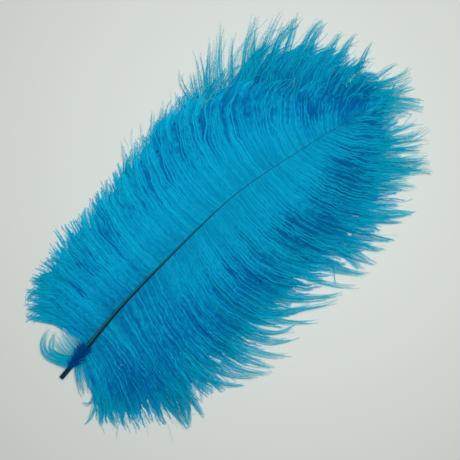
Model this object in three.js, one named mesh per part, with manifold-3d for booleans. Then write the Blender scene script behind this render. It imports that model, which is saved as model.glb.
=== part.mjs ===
// Dyed ostrich feather lying on a flat surface: the cut quill points to -X, the drooping tip to +X
// and the surface is z = 0. Lengths are in millimetres and angles in degrees.
// The origin is on the surface, below the crest of the shaft's bow.
import * as THREE from 'three';
import { mergeVertices } from 'three/addons/utils/BufferGeometryUtils.js';
import Module from 'manifold-3d';

// Shaft: points that its centre line passes through, from the cut end of the quill to the tip.
const SHAFT_POINTS = [
  [-191, -22.8, 2.6],
  [-156, -16.6, 4.6],
  [-118, -9.8, 7.5],
  [-66, -4.2, 10],
  [17, 1.4, 11.5],
  [50, -0.5, 11.2],
  [136, -11.8, 8],
  [170, -17.5, 5.5],
];
const SHAFT_SIDES = 8;
const SHAFT_STEPS = 26;
const QUILL_RADIUS = 2.1;
const SHAFT_TIP_RADIUS = 0.8;
const SHAFT_TAPER = 0.8;

// Vane: a thin soft body of barbs lies on each side of the shaft. Locks of barbs lie over it in a front
// tier that curls over towards the tip and a longer, flatter outer tier below it.
const BARE_QUILL = 28;
const VANE_RINGS = 14;
const VANE_CREST = [
  { part: -0.04, height: 1 },
  { part: 0.06, height: 0.95 },
  { part: 0.3, height: 0.75 },
  { part: 0.6, height: 0.7 },
];
const VANE_FOOT_PARTS = [0.8, 0.3, -0.04];
const LOCKS_PER_TIER = 18;
const LOCK_STEPS = 6;
const LOCK_ROOT_WIDTH = 14;
const LOCK_WIDTH = 25;
const LOCK_WIDEST_PART = 0.5;
const LOCK_TIP_WIDTH = 1.8;
const LOCK_TIP_HEIGHT = 1.2;
const LOCK_TAPER = 1.9;
const LOCK_SHOULDER = { aside: 0.7, height: 0.6 };
const LOCK_LENGTH_SPREAD = 0.1;
const LOCK_TURN_SPREAD = 5;
const FOOT_DEPTH = 3;
const GROUND_SIZE = [600, 400, 20];
const BARB_STEPS = 40;
const BARB_BEND_POWER = 1.3;

// The vane's length is measured from its base (0) to the tip (1). At each of these stations a tier
// states the angle of its locks to the shaft where they leave it, the angle where they end, and
// their length. The left side is +Y.
const STATIONS = [0, 0.08, 0.2, 0.35, 0.5, 0.65, 0.8, 0.92, 1];
const TIERS = [
  {
    side: 1,
    first: 0.02,
    last: 0.99,
    front: true,
    fall: 1,
    rootAngle: [104, 100, 98, 98, 96, 94, 86, 62, 20],
    endAngle: [140, 118, 88, 72, 60, 36, 12, 8, 0],
    length: [42, 63, 77, 82, 82, 84, 78, 52, 24],
  },
  {
    side: 1,
    first: 0.05,
    last: 0.965,
    front: false,
    fall: 0.6,
    rootAngle: [104, 98, 97, 95, 90, 82, 70, 46, 12],
    endAngle: [140, 118, 92, 82, 74, 64, 44, 22, 4],
    length: [48, 72, 83, 86, 100, 124, 108, 64, 28],
  },
  {
    side: -1,
    first: 0,
    last: 0.98,
    front: true,
    fall: 1,
    rootAngle: [128, 116, 103, 96, 92, 86, 74, 48, 10],
    endAngle: [140, 124, 100, 70, 52, 38, 26, 14, 0],
    length: [58, 84, 113, 113, 106, 100, 82, 52, 24],
  },
  {
    side: -1,
    first: 0.03,
    last: 0.955,
    front: false,
    fall: 0.6,
    rootAngle: [128, 116, 103, 96, 90, 82, 66, 40, 5],
    endAngle: [135, 122, 104, 52, 36, 30, 18, 8, 0],
    length: [62, 92, 123, 134, 133, 124, 100, 62, 28],
  },
];

const wasm = await Module();
wasm.setup();

const shaftLine = new THREE.CatmullRomCurve3(
  SHAFT_POINTS.map((point) => new THREE.Vector3(...point)),
);
const shaftLength = shaftLine.getLength();

// The value at one place on the vane, between the values stated at the stations around it.
function between(values, place) {
  let step = 0;
  while (step < STATIONS.length - 2 && place > STATIONS[step + 1]) {
    step += 1;
  }
  const part = (place - STATIONS[step]) / (STATIONS[step + 1] - STATIONS[step]);
  return THREE.MathUtils.lerp(values[step], values[step + 1], part);
}

// A repeatable number from -1 to 1, so that no two locks are alike.
function vary(seed) {
  const wave = Math.sin(seed * 12.9898 + 4.1414) * 43758.5453;
  return 2 * (wave - Math.floor(wave)) - 1;
}

// A closed solid through rings of points that all have the same number of corners.
function solidThroughRings(rings) {
  const corners = rings[0].length;
  const vertices = rings.flat().flatMap((point) => point.toArray());
  const triangles = [];
  for (let ring = 0; ring + 1 < rings.length; ring += 1) {
    for (let corner = 0; corner < corners; corner += 1) {
      const here = ring * corners + corner;
      const next = ring * corners + (corner + 1) % corners;
      triangles.push(here, next, here + corners);
      triangles.push(next, next + corners, here + corners);
    }
  }
  const last = (rings.length - 1) * corners;
  for (let corner = 1; corner + 1 < corners; corner += 1) {
    triangles.push(0, corner + 1, corner);
    triangles.push(last, last + corner, last + corner + 1);
  }
  const mesh = new wasm.Mesh({
    numProp: 3,
    vertProperties: new Float32Array(vertices),
    triVerts: new Uint32Array(triangles),
  });
  return new wasm.Manifold(mesh);
}

// The shaft, thickest at the cut end of the quill and thin at the tip.
function makeShaft() {
  const rings = [];
  for (let step = 0; step <= SHAFT_STEPS; step += 1) {
    const part = step / SHAFT_STEPS;
    const centre = shaftLine.getPointAt(part);
    const ahead = shaftLine.getTangentAt(part);
    const left = new THREE.Vector3(-ahead.y, ahead.x, 0).normalize();
    const up = new THREE.Vector3().crossVectors(ahead, left);
    const radius = THREE.MathUtils.lerp(QUILL_RADIUS, SHAFT_TIP_RADIUS, part ** SHAFT_TAPER);
    const ring = [];
    for (let side = 0; side < SHAFT_SIDES; side += 1) {
      const turn = (2 * Math.PI * (side + 0.5)) / SHAFT_SIDES;
      const point = centre.clone();
      point.addScaledVector(left, radius * Math.cos(turn));
      point.addScaledVector(up, radius * Math.sin(turn));
      ring.push(point);
    }
    rings.push(ring);
  }
  return solidThroughRings(rings);
}

// The line of one barb in plan, from the shaft to its tip, with its heading and the height of its
// crest at a part of its length. A part below 0 lies on the shaft's other side.
function barbLine(tier, place, lengthen = 1, turn = 0) {
  const onShaft = (BARE_QUILL + place * (shaftLength - BARE_QUILL)) / shaftLength;
  const root = shaftLine.getPointAt(Math.min(onShaft, 1));
  const ahead = shaftLine.getTangentAt(Math.min(onShaft, 1));
  const shaftAngle = Math.atan2(ahead.y, ahead.x);
  const rootAngle = between(tier.rootAngle, place);
  const endAngle = between(tier.endAngle, place) + turn;
  const length = between(tier.length, place) * lengthen;
  return (part) => {
    let x = root.x;
    let y = root.y;
    let heading = shaftAngle;
    for (let step = 0; step < BARB_STEPS; step += 1) {
      const along = (part * (step + 0.5)) / BARB_STEPS;
      const bend = THREE.MathUtils.lerp(rootAngle, endAngle, Math.abs(along) ** BARB_BEND_POWER);
      heading = shaftAngle + tier.side * THREE.MathUtils.degToRad(bend);
      x += (Math.cos(heading) * length * part) / BARB_STEPS;
      y += (Math.sin(heading) * length * part) / BARB_STEPS;
    }
    const fall = 1 + (tier.fall - 1) * part - tier.fall * part ** 2;
    const crest = LOCK_TIP_HEIGHT + (root.z - LOCK_TIP_HEIGHT) * fall;
    return { x, y, heading, crest };
  };
}

// The soft body of one side's vane: its crest follows the barbs and its edge slopes to the surface.
function makeVane(tier) {
  const rings = [];
  for (let step = 0; step <= VANE_RINGS; step += 1) {
    const barb = barbLine(tier, step / VANE_RINGS);
    const crest = VANE_CREST.map(({ part, height }) => {
      const point = barb(part);
      return new THREE.Vector3(point.x, point.y, height * point.crest);
    });
    const foot = VANE_FOOT_PARTS.map((part) => {
      const point = barb(part);
      return new THREE.Vector3(point.x, point.y, -FOOT_DEPTH);
    });
    const ring = [...crest, ...foot];
    rings.push(tier.side > 0 ? ring.reverse() : ring);
  }
  return solidThroughRings(rings);
}

// How wide a lock is at a part of its length: it widens from the shaft, then runs to a thin tip.
function lockWidth(part) {
  if (part < LOCK_WIDEST_PART) {
    return THREE.MathUtils.lerp(LOCK_ROOT_WIDTH, LOCK_WIDTH, part / LOCK_WIDEST_PART);
  }
  const outer = (part - LOCK_WIDEST_PART) / (1 - LOCK_WIDEST_PART);
  return THREE.MathUtils.lerp(LOCK_WIDTH, LOCK_TIP_WIDTH, outer ** LOCK_TAPER);
}

// One lock: it leaves the shaft's side and runs to a thin tip lying on the surface.
function makeLock(tier, place, seed) {
  const lengthen = 1 + LOCK_LENGTH_SPREAD * vary(seed);
  const barb = barbLine(tier, place, lengthen, LOCK_TURN_SPREAD * vary(seed + 0.5));
  const rings = [];
  for (let step = 0; step <= LOCK_STEPS; step += 1) {
    const part = step / LOCK_STEPS;
    const point = barb(part);
    const half = lockWidth(part) / 2;
    const shoulder = LOCK_SHOULDER.aside * half;
    const shoulderHeight = LOCK_SHOULDER.height * point.crest;
    const section = [
      [-half, -FOOT_DEPTH],
      [-shoulder, shoulderHeight],
      [0, point.crest],
      [shoulder, shoulderHeight],
      [half, -FOOT_DEPTH],
    ];
    rings.push(section.map(([aside, height]) => new THREE.Vector3(
      point.x + aside * Math.sin(point.heading),
      point.y - aside * Math.cos(point.heading),
      height,
    )));
  }
  return solidThroughRings(rings);
}

// All that would lie below the surface, so that the feather's underside is flattened where it rests.
function makeGround() {
  const ground = new THREE.BoxGeometry(...GROUND_SIZE).translate(0, 0, -GROUND_SIZE[2] / 2);
  ground.deleteAttribute('normal');
  ground.deleteAttribute('uv');
  const merged = mergeVertices(ground);
  const mesh = new wasm.Mesh({
    numProp: 3,
    vertProperties: new Float32Array(merged.attributes.position.array),
    triVerts: new Uint32Array(merged.index.array),
  });
  return new wasm.Manifold(mesh);
}

// The whole feather grows as one piece, so shaft, vanes and locks are joined into one solid.
function makeFeather() {
  let feather = makeShaft();
  TIERS.filter((tier) => tier.front).forEach((tier) => {
    feather = feather.add(makeVane(tier));
  });
  TIERS.forEach((tier, row) => {
    for (let lock = 0; lock < LOCKS_PER_TIER; lock += 1) {
      const place = THREE.MathUtils.lerp(tier.first, tier.last, lock / (LOCKS_PER_TIER - 1));
      feather = feather.add(makeLock(tier, place, row * 50 + lock));
    }
  });
  return feather.subtract(makeGround());
}

// A three.js geometry with the corners and triangles of a joined solid.
function toGeometry(solid) {
  const mesh = solid.getMesh();
  const geometry = new THREE.BufferGeometry();
  geometry.setAttribute('position', new THREE.BufferAttribute(mesh.vertProperties, 3));
  geometry.setIndex(new THREE.BufferAttribute(mesh.triVerts, 1));
  geometry.computeVertexNormals();
  return geometry;
}

const dyedVane = new THREE.MeshStandardMaterial({ color: 0x068dbc, roughness: 0.75, metalness: 0 });
const feather = new THREE.Mesh(toGeometry(makeFeather()), dyedVane);
feather.name = 'feather';

const ostrichFeather = new THREE.Group();
ostrichFeather.add(feather);

export default ostrichFeather;
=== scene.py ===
"""Dyed ostrich feather lying on a pale table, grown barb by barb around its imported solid."""
from __future__ import annotations

import logging
import math
from dataclasses import dataclass, replace
from enum import Enum
from typing import Any, Optional, Sequence, Union

import bpy
import numpy as np
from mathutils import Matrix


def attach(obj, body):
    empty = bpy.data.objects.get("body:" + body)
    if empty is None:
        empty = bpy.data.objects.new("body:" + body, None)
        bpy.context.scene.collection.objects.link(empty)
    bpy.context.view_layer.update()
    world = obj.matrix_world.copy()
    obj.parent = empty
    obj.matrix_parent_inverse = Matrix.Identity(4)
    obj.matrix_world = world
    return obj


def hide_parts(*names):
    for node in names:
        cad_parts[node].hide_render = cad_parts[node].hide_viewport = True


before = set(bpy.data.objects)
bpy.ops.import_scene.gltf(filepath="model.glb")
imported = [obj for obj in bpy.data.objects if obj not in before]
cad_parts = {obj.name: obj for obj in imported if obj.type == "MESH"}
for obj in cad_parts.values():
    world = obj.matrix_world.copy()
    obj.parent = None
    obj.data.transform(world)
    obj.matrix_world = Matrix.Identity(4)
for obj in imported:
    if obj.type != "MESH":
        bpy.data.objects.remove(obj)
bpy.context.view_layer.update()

LOG = logging.getLogger("feather")
MM = 0.001
BODY = "root"
NODE = "feather"
UP = np.array([0.0, 0.0, 1.0])
LOWEST = 0.08
CHART_REACH = 0.42

Colour = tuple[float, float, float]
Span = tuple[float, float]
Numbers = Union[float, np.ndarray]
Operand = Union["Wire", float]


class Side(Enum):
    """The two sides of the shaft, seen from above with the tip ahead."""

    LEFT = 1
    RIGHT = -1


class Layer(Enum):
    """The layers of barbs on each side of the shaft."""

    OUTER_MAT = "outer_mat"
    FRINGE = "fringe"
    OUTER = "outer"
    FRONT_MAT = "front_mat"
    FRONT = "front"


class Weave(Enum):
    """How the barbs of a tier are drawn."""

    LOOSE = "loose"
    MATTED = "matted"


class Slot(Enum):
    """Material slot names."""

    VANE = "dyed_vane"
    QUILL = "dyed_quill"


def dye(red: float, green: float, blue: float) -> Colour:
    """Turn a colour from screen values to the linear values that shaders take.

    Args:
        red: Red from 0 to 255.
        green: Green from 0 to 255.
        blue: Blue from 0 to 255.

    Returns:
        The linear colour.
    """
    def linear(value: float) -> float:
        """Undo the screen curve of one channel."""
        part = value / 255.0
        return part / 12.92 if part <= 0.04045 else ((part + 0.055) / 1.055) ** 2.4

    return linear(red), linear(green), linear(blue)


def smooth(values: Numbers, low: float, high: float) -> Numbers:
    """Ease from 0 at low to 1 at high.

    Args:
        values: Places to ease at.
        low: Where the result leaves 0.
        high: Where the result reaches 1.

    Returns:
        The eased values.
    """
    part = np.clip((values - low) / (high - low), 0.0, 1.0)
    return part * part * (3.0 - 2.0 * part)


def unit(vectors: np.ndarray) -> np.ndarray:
    """Scale each row to length 1."""
    return vectors / np.maximum(np.linalg.norm(vectors, axis=-1, keepdims=True), 1e-12)


class Wire:
    """An output socket that takes part in Python arithmetic."""

    def __init__(self, graph: Graph, socket: bpy.types.NodeSocket) -> None:
        """Keep the graph and the socket."""
        self.graph = graph
        self.socket = socket

    def _math(self, operation: str, first: Operand, second: Operand) -> Wire:
        """Add one Math node and give its result."""
        return self.graph.wire("ShaderNodeMath", {"operation": operation}, {0: first, 1: second})

    def __add__(self, other: Operand) -> Wire:
        """Add a value."""
        return self._math("ADD", self, other)

    def __radd__(self, other: Operand) -> Wire:
        """Add to a value."""
        return self._math("ADD", other, self)

    def __sub__(self, other: Operand) -> Wire:
        """Take a value away."""
        return self._math("SUBTRACT", self, other)

    def __rsub__(self, other: Operand) -> Wire:
        """Take this away from a value."""
        return self._math("SUBTRACT", other, self)

    def __mul__(self, other: Operand) -> Wire:
        """Multiply by a value."""
        return self._math("MULTIPLY", self, other)

    def __rmul__(self, other: Operand) -> Wire:
        """Multiply a value by this."""
        return self._math("MULTIPLY", other, self)

    def eased(self, low: float, high: float) -> Wire:
        """Ease from 0 at low to 1 at high.

        Args:
            low: Where the result leaves 0.
            high: Where the result reaches 1.

        Returns:
            The eased value.
        """
        settings = {"interpolation_type": "SMOOTHSTEP"}
        sockets = {0: self, 1: low, 2: high, 3: 0.0, 4: 1.0}
        return self.graph.wire("ShaderNodeMapRange", settings, sockets)


class Graph:
    """The node tree of one material or of the world."""

    def __init__(self, tree: bpy.types.NodeTree) -> None:
        """Start with an empty tree."""
        self.tree = tree
        self.tree.nodes.clear()

    def node(
        self,
        kind: str,
        settings: Optional[dict[str, Any]] = None,
        sockets: Optional[dict[Union[str, int], Any]] = None,
    ) -> bpy.types.Node:
        """Add one node.

        Args:
            kind: The node's type name.
            settings: Properties of the node, set before its sockets.
            sockets: Values or wires by socket name or number.

        Returns:
            The new node.
        """
        node = self.tree.nodes.new(kind)
        for name, value in (settings or {}).items():
            setattr(node, name, value)
        for key, value in (sockets or {}).items():
            if isinstance(value, Wire):
                self.tree.links.new(value.socket, node.inputs[key])
            elif isinstance(value, tuple) and len(value) == 3 and node.inputs[key].type == "RGBA":
                node.inputs[key].default_value = (*value, 1.0)
            else:
                node.inputs[key].default_value = value
        return node

    def wire(
        self,
        kind: str,
        settings: Optional[dict[str, Any]] = None,
        sockets: Optional[dict[Union[str, int], Any]] = None,
        output: Union[str, int] = 0,
    ) -> Wire:
        """Add one node and give one of its outputs.

        Args:
            kind: The node's type name.
            settings: Properties of the node, set before its sockets.
            sockets: Values or wires by socket name or number.
            output: Name or number of the output.

        Returns:
            The output as a wire.
        """
        return Wire(self, self.node(kind, settings, sockets).outputs[output])

    def attribute(self, name: str) -> Wire:
        """Read a number that the mesh carries."""
        return self.wire("ShaderNodeAttribute", {"attribute_name": name}, output="Fac")

    def blend(self, first: Union[Wire, Colour], second: Union[Wire, Colour], share: Operand) -> Wire:
        """Mix two colours.

        Args:
            first: The colour at share 0.
            second: The colour at share 1.
            share: How much of the second colour is taken.

        Returns:
            The mixed colour.
        """
        return self.wire("ShaderNodeMix", {"data_type": "RGBA"}, {0: share, 6: first, 7: second}, 2)

    def noise(self, scale: float, detail: float) -> Wire:
        """Make noise that is fixed to the object.

        Args:
            scale: Waves to the metre.
            detail: Octaves of finer noise.

        Returns:
            The noise, from 0 to 1.
        """
        place = self.wire("ShaderNodeTexCoord", output="Object")
        return self.wire("ShaderNodeTexNoise", {}, {"Vector": place, "Scale": scale, "Detail": detail})


def link_object(name: str, data: bpy.types.ID) -> bpy.types.Object:
    """Make an object of some data and put it into the scene.

    Args:
        name: The object's name.
        data: Its mesh, light or camera.

    Returns:
        The new object.
    """
    made = bpy.data.objects.new(name, data)
    bpy.context.scene.collection.objects.link(made)
    return made


@dataclass(frozen=True)
class Finish:
    """A named material whose shader each kind of finish builds."""

    name: str

    def material(self) -> bpy.types.Material:
        """Build the material.

        Returns:
            The finished material.
        """
        material = bpy.data.materials.new(self.name)
        material.use_nodes = True
        graph = Graph(material.node_tree)
        graph.node("ShaderNodeOutputMaterial", {}, {"Surface": self.shader(graph)})
        return material

    def shader(self, graph: Graph) -> Wire:
        """Build the shader in an empty graph and give its output."""
        raise NotImplementedError


@dataclass(frozen=True)
class DyedBarbFinish(Finish):
    """Soft dyed barbs: dark blue by the shaft, brighter along the barb and greener at the thin tips,
    with painted shade.
    """

    root: Colour
    middle: Colour
    tip: Colour
    pale: Colour
    # the colour of painted shade, and of the random dull tone
    shade_and_dull: Colour
    glow: Colour
    through: float = 0.35
    near_shade: float = 0.12
    far_shade: float = 0.56
    roughness: float = 0.62
    specular: float = 0.0

    MOTTLE = (260.0, 3.0)
    MIDDLE_SPAN = (0.04, 0.4)
    TIP_SPAN = (0.55, 0.95)
    TIP_SHARE = 0.9
    PALE_SHARE = 0.7
    CLEAR_SPAN = (0.7, 1.0)
    CLEAR_SHARE = 0.55
    RIM_SPAN = (0.12, 0.55)
    DULL_SHARE = 0.16
    ROUGHNESS_SPREAD = 0.2

    def shader(self, graph: Graph) -> Wire:
        """Blend the dyes along the barb, paint shade on the barbule rims and by the depth number, and
        let some light through.

        Args:
            graph: The empty graph.

        Returns:
            The shader's output.
        """
        reach = graph.attribute("reach")
        tone = graph.attribute("tone")
        mottle = graph.noise(*self.MOTTLE)
        colour = graph.blend(self.root, self.middle, reach.eased(*self.MIDDLE_SPAN))
        colour = graph.blend(colour, self.tip, reach.eased(*self.TIP_SPAN) * self.TIP_SHARE)
        colour = graph.blend(colour, self.pale, tone * mottle * self.PALE_SHARE)
        # clear: the painted shade fades on the thin tips
        clear = 1.0 - self.CLEAR_SHARE * reach.eased(*self.CLEAR_SPAN)
        # rim: painted shade on the barbule rims, for the shadow between barbs; the dull share is random
        # tone
        rim = graph.attribute("edge") * (self.near_shade + self.far_shade * reach.eased(*self.RIM_SPAN))
        shade = rim * clear + (1.0 - tone) * self.DULL_SHARE
        colour = graph.blend(colour, self.shade_and_dull, shade)
        # painted shade by the depth number: lower tiers, hollows, slits and gaps
        colour = graph.blend(colour, self.shade_and_dull, graph.attribute("depth").eased(0.0, 1.0) * clear)
        skin = graph.wire("ShaderNodeBsdfPrincipled", {}, {
            "Base Color": colour,
            "Roughness": self.roughness + self.ROUGHNESS_SPREAD * (mottle - 0.5),
            "Specular IOR Level": self.specular,
        })
        glow = graph.wire("ShaderNodeBsdfTranslucent", {}, {"Color": self.glow})
        return graph.wire("ShaderNodeMixShader", {}, {0: self.through, 1: skin, 2: glow})


@dataclass(frozen=True)
class DyedQuillFinish(Finish):
    """Smooth dyed horn, near black, with a pale line that runs along one side of the groove."""

    horn: Colour
    line: Colour
    tip: Colour
    roughness: float = 0.45
    specular: float = 0.05
    bump_strength: float = 0.25
    bump_height: float = 0.0002

    STREAK = (900.0, 4.0)
    LINE_LEAST = 0.55
    LINE_MORE = 0.6
    TIP_SPAN = (0.3, 0.72)
    ROUGHNESS_SPREAD = 0.25

    def shader(self, graph: Graph) -> Wire:
        """Draw the pale line on the horn, over a fine bump.

        Args:
            graph: The empty graph.

        Returns:
            The shader's output.
        """
        streak = graph.noise(*self.STREAK)
        shown = graph.attribute("line") * (self.LINE_LEAST + self.LINE_MORE * streak)
        colour = graph.blend(self.horn, self.line, shown)
        colour = graph.blend(colour, self.tip, graph.attribute("reach").eased(*self.TIP_SPAN))
        bump = graph.wire("ShaderNodeBump", {}, {
            "Strength": self.bump_strength,
            "Distance": self.bump_height,
            "Height": streak,
        })
        return graph.wire("ShaderNodeBsdfPrincipled", {}, {
            "Base Color": colour,
            "Roughness": self.roughness + self.ROUGHNESS_SPREAD * (streak - 0.5),
            "Specular IOR Level": self.specular,
            "Normal": bump,
        })


@dataclass(frozen=True)
class TableFinish(Finish):
    """Pale, matt table top."""

    name: str = "pale_table"
    colour: Colour = (0.70, 0.735, 0.70)
    roughness: float = 0.85
    specular: float = 0.1

    def shader(self, graph: Graph) -> Wire:
        """Give one even matt surface."""
        return graph.wire("ShaderNodeBsdfPrincipled", {}, {
            "Base Color": self.colour,
            "Roughness": self.roughness,
            "Specular IOR Level": self.specular,
        })


class MeshArrays:
    """Vertex, triangle and attribute arrays that are joined into one mesh."""

    def __init__(self) -> None:
        """Start with nothing."""
        self.points: list[np.ndarray] = []
        self.triangles: list[np.ndarray] = []
        self.charts: list[np.ndarray] = []
        self.numbers: dict[str, list[np.ndarray]] = {}
        self.vertex_count = 0
        self.strips = 0

    def add(
        self,
        points: np.ndarray,
        triangles: np.ndarray,
        chart: np.ndarray,
        numbers: dict[str, np.ndarray],
    ) -> None:
        """Add one strip of surface with its own place on the bake chart.

        Args:
            points: Vertices in millimetres, one a row.
            triangles: Vertex numbers, three a row, counted within this strip.
            chart: Place of each vertex across and along its strip, each from 0 to 1.
            numbers: Attribute values for each vertex.
        """
        self.points.append(points)
        self.triangles.append(triangles + self.vertex_count)
        self.charts.append(np.column_stack([chart[:, 0] + self.strips, chart[:, 1]]))
        for name, values in numbers.items():
            self.numbers.setdefault(name, []).append(np.broadcast_to(values, len(points)))
        self.vertex_count += len(points)
        self.strips += 1

    def to_object(self, name: str, material: bpy.types.Material, slot: Slot) -> bpy.types.Object:
        """Make the joined mesh a piece of the feather.

        Args:
            name: The piece's name.
            material: The piece's material.
            slot: Not used.

        Returns:
            The new piece.
        """
        points = np.concatenate(self.points) * MM
        corners = np.concatenate(self.triangles).astype(np.int32)
        chart = np.concatenate(self.charts)
        chart[:, 0] /= self.strips
        mesh = bpy.data.meshes.new(name)
        mesh.vertices.add(len(points))
        mesh.vertices.foreach_set("co", points.astype(np.float32).ravel())
        mesh.loops.add(corners.size)
        mesh.loops.foreach_set("vertex_index", corners.ravel())
        mesh.polygons.add(len(corners))
        mesh.polygons.foreach_set("loop_start", np.arange(0, corners.size, 3, dtype=np.int32))
        mesh.polygons.foreach_set("use_smooth", np.ones(len(corners), dtype=bool))
        layer = mesh.uv_layers.new(name="OFBake")
        layer.data.foreach_set("uv", chart[corners.ravel()].astype(np.float32).ravel())
        for key, values in self.numbers.items():
            data = mesh.attributes.new(key, "FLOAT", "POINT").data
            data.foreach_set("value", np.concatenate(values).astype(np.float32))
        mesh.update()
        mesh.materials.append(material)
        piece = link_object(name, mesh)
        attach(piece, BODY)
        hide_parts(NODE)
        LOG.info("%s: %d triangles", name, len(corners))
        return piece


class Strip:
    """Vertices and triangles of one barb, gathered before they join a mesh."""

    def __init__(self, tone: float) -> None:
        """Start with nothing.

        Args:
            tone: The barb's own shade of the dye, from 0 to 1.
        """
        self.tone = tone
        self.rows: list[np.ndarray] = []
        self.corners: list[np.ndarray] = []
        self.count = 0

    def points(
        self,
        places: np.ndarray,
        across: float,
        along: np.ndarray,
        edge: float,
        depth: np.ndarray,
    ) -> np.ndarray:
        """Add a row of vertices.

        Args:
            places: Vertices in millimetres, one a row.
            across: Place across the strip, from 0 to 1.
            along: Place along the barb, from 0 to 1, one for each vertex.
            edge: How much painted rim shade the row takes, from 0 at the rib to 1.
            depth: How much painted shade each vertex takes, from 0 to 1.

        Returns:
            The numbers of the new vertices.
        """
        number = len(places)
        self.rows.append(np.column_stack([
            places, np.full(number, across), along, np.full(number, edge), depth,
        ]))
        self.count += number
        return np.arange(self.count - number, self.count)

    def triangles(self, first: np.ndarray, second: np.ndarray, third: np.ndarray) -> None:
        """Add triangles by the numbers of their vertices."""
        self.corners.append(np.column_stack([first, second, third]))

    def join(self, arrays: MeshArrays) -> None:
        """Add the strip to a mesh, kept clear of the table.

        Args:
            arrays: The mesh that the strip joins.
        """
        rows = np.concatenate(self.rows)
        places = rows[:, :3]
        places[:, 2] = np.maximum(places[:, 2], LOWEST)
        arrays.add(places, np.concatenate(self.corners), rows[:, 3:5], {
            "reach": rows[:, 4],
            "edge": rows[:, 5],
            "depth": rows[:, 6],
            "tone": np.array(self.tone),
        })


@dataclass(frozen=True)
class Directions:
    """Unit vectors along a barb: ahead, across to its left, and above it."""

    ahead: np.ndarray
    across: np.ndarray
    above: np.ndarray

    @classmethod
    def along(cls, centre: np.ndarray, roll: np.ndarray) -> Directions:
        """Follow a centre line.

        Args:
            centre: Points of the line.
            roll: Turn about the line at each point, in radians.

        Returns:
            The directions at each point.
        """
        ahead = unit(np.gradient(centre, axis=0))
        level = unit(np.cross(UP, ahead))
        above = np.cross(ahead, level)
        turn, lift = np.cos(roll)[:, None], np.sin(roll)[:, None]
        return cls(ahead, turn * level + lift * above, turn * above - lift * level)


@dataclass(frozen=True)
class Barb:
    """One loose barb: a thin rib with rows of separate barbules on both sides.

    The centre line is in millimetres, at the spacing of the barbules.
    """

    centre: np.ndarray
    roll: np.ndarray
    barbule: np.ndarray
    lean: np.ndarray
    depth: np.ndarray
    tone: float
    rows: tuple[float, ...] = (-0.45,)
    rib_radius: float = 0.17
    rib_every: int = 8
    begins: float = 0.0

    LENGTH_SPREAD = (0.72, 1.18)
    LEAN_SPREAD = 0.12
    DROOP_SPREAD = 0.2
    UPPER_EDGE = 0.45
    RIB_TAPER = 0.75
    RIB_ANGLES = (90.0, 210.0, 330.0)
    RIB_CHART = (0.4, 0.5, 0.6)

    def draw(self, arrays: MeshArrays, random: np.random.Generator) -> None:
        """Add the barb's triangles to a mesh.

        Args:
            arrays: The mesh that the barb joins.
            random: Source of the spread between barbules.
        """
        count = len(self.centre) - 1
        go = Directions.along(self.centre, self.roll)
        along = np.linspace(self.begins, 1.0, count + 1)
        strip = Strip(self.tone)
        rib = strip.points(self.centre, 0.5, along, 0.0, self.depth)
        middle = 0.5 * (self.centre[:-1] + self.centre[1:])
        for rise in self.rows:
            for hand in (1.0, -1.0):
                length = (self.barbule[:-1] * random.uniform(*self.LENGTH_SPREAD, count))[:, None]
                lean = (self.lean[:-1] + random.normal(0.0, self.LEAN_SPREAD, count))[:, None]
                droop = random.normal(rise, self.DROOP_SPREAD, count)[:, None]
                out = hand * np.cos(droop) * go.across[:-1] + np.sin(droop) * go.above[:-1]
                ends = middle + length * (np.cos(lean) * go.ahead[:-1] + np.sin(lean) * out)
                # upper rows take less of the painted rim shade
                edge = 1.0 if rise < 0.0 else self.UPPER_EDGE
                across = 0.5 + CHART_REACH * hand
                tips = strip.points(ends, across, along[:-1], edge, self.depth[:-1])
                near, far = (rib[:-1], rib[1:]) if hand > 0.0 else (rib[1:], rib[:-1])
                strip.triangles(near, far, tips)
        self._draw_rib(strip, go, along)
        strip.join(arrays)

    def _draw_rib(self, strip: Strip, go: Directions, along: np.ndarray) -> None:
        """Add the rib, a three-sided rod that thins to the tip.

        Args:
            strip: The strip that the rib joins.
            go: Directions along the barb.
            along: Place along the barb, from 0 to 1.
        """
        count = len(along) - 1
        stops = np.unique(np.append(np.arange(0, count, self.rib_every), count))
        radius = (self.rib_radius * (1.0 - self.RIB_TAPER * along[stops]))[:, None]
        rails = []
        for turn, across in zip(self.RIB_ANGLES, self.RIB_CHART):
            angle = math.radians(turn)
            spoke = math.cos(angle) * go.across[stops] + math.sin(angle) * go.above[stops]
            places = self.centre[stops] + radius * spoke
            rails.append(strip.points(places, across, along[stops], 0.0, self.depth[stops]))
        for here, there in zip(rails, rails[1:] + rails[:1]):
            strip.triangles(here[:-1], there[:-1], here[1:])
            strip.triangles(there[:-1], there[1:], here[1:])


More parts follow.
